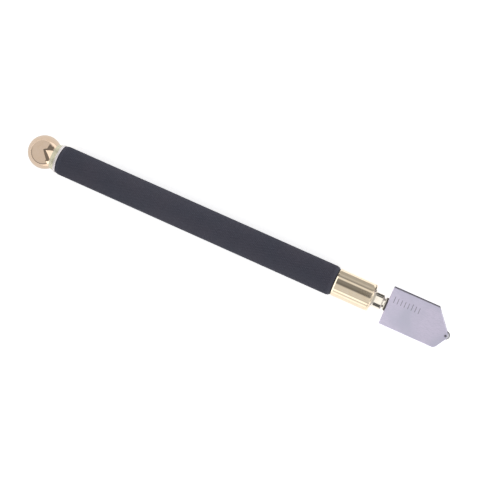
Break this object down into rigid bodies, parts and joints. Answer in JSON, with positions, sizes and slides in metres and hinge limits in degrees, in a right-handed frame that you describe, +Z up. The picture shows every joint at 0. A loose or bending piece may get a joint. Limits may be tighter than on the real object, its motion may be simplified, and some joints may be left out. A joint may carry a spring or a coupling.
{
  "type": "glass cutter",
  "caption": "Oil-fed hand glass cutter with a knurled tube handle, ball end cap and wide steel head with a small cutting wheel.",
  "frame": {"origin": "under the middle of the tool's length, on the surface that the ball touches, as the tool lies with its head plate flat", "axes": "+X along the handle towards the cutting wheel, +Z up, square to the head plate; the wheel stands off the axis towards -Y"},
  "size_m": [0.1746, 0.0146, 0.013],
  "materials": {
    "black_grip": "matt black anodised, finely diamond knurled",
    "polished_gold": "mirror-polished pale gold plate",
    "turned_gold": "fine-turned pale gold plate",
    "polished_nickel": "polished",
    "satin_steel": "satin, faintly lilac grey",
    "axle_steel": "dark hardened steel",
    "carbide": "ground tungsten carbide",
    "spring_steel": "bright drawn steel",
    "brass": "as turned",
    "seal_rubber": "matt black nitrile rubber",
    "fibre": "dark fibre",
    "felt": "oiled cotton felt"
  },
  "bodies": {
    "handle": {"handle_tube": "black_grip", "ferrule_seal": "seal_rubber", "ferrule": "polished_gold", "gland_nut": "polished_nickel", "stem_o_ring": "seal_rubber", "spring_retainer": "brass", "valve_spring": "spring_steel", "set_screw": "spring_steel"},
    "cap_seal": {"cap_o_ring": "seal_rubber"},
    "cap": {"end_cap": "polished_gold", "rear_collar": "turned_gold"},
    "valve": {"valve_plunger": "brass", "valve_washer": "seal_rubber"},
    "head": {"head_plate": "satin_steel", "head_stem": "polished_nickel", "stem_pin": "spring_steel", "thrust_washer": "polished_nickel", "fibre_washer": "fibre", "oil_wick": "felt", "wheel_axle": "axle_steel"},
    "wheel": {"cutting_wheel": "carbide"}
  },
  "joints": [
    {"name": "cap_travel", "type": "slide", "parent": "handle", "child": "cap_seal", "axis": [-1, 0, 0], "range_m": [0, 0.005]},
    {"name": "cap_turn", "type": "hinge", "parent": "cap_seal", "child": "cap", "pos_m": [-0.08082, 0, 0.0065], "axis": [-1, 0, 0], "range_deg": [0, 1800]},
    {"name": "head_press", "type": "slide", "parent": "handle", "child": "valve", "axis": [-1, 0, 0], "range_m": [0, 0.0005], "stiffness_N_per_m": 800, "springref_m": -0.001, "deforming": ["valve_spring"]},
    {"name": "head_swivel", "type": "hinge", "parent": "valve", "child": "head", "pos_m": [0.06157, 0, 0.0065], "axis": [1, 0, 0], "range_deg": [-10, 10]},
    {"name": "wheel_spin", "type": "hinge", "parent": "head", "child": "wheel", "pos_m": [0.08572, -0.0015, 0.0065], "axis": [0, 0, 1], "continuous": true}
  ],
  "couplings": [
    {"joint": "cap_travel", "follows": "cap_turn", "m_per_rad": 0.00015915}
  ]
}
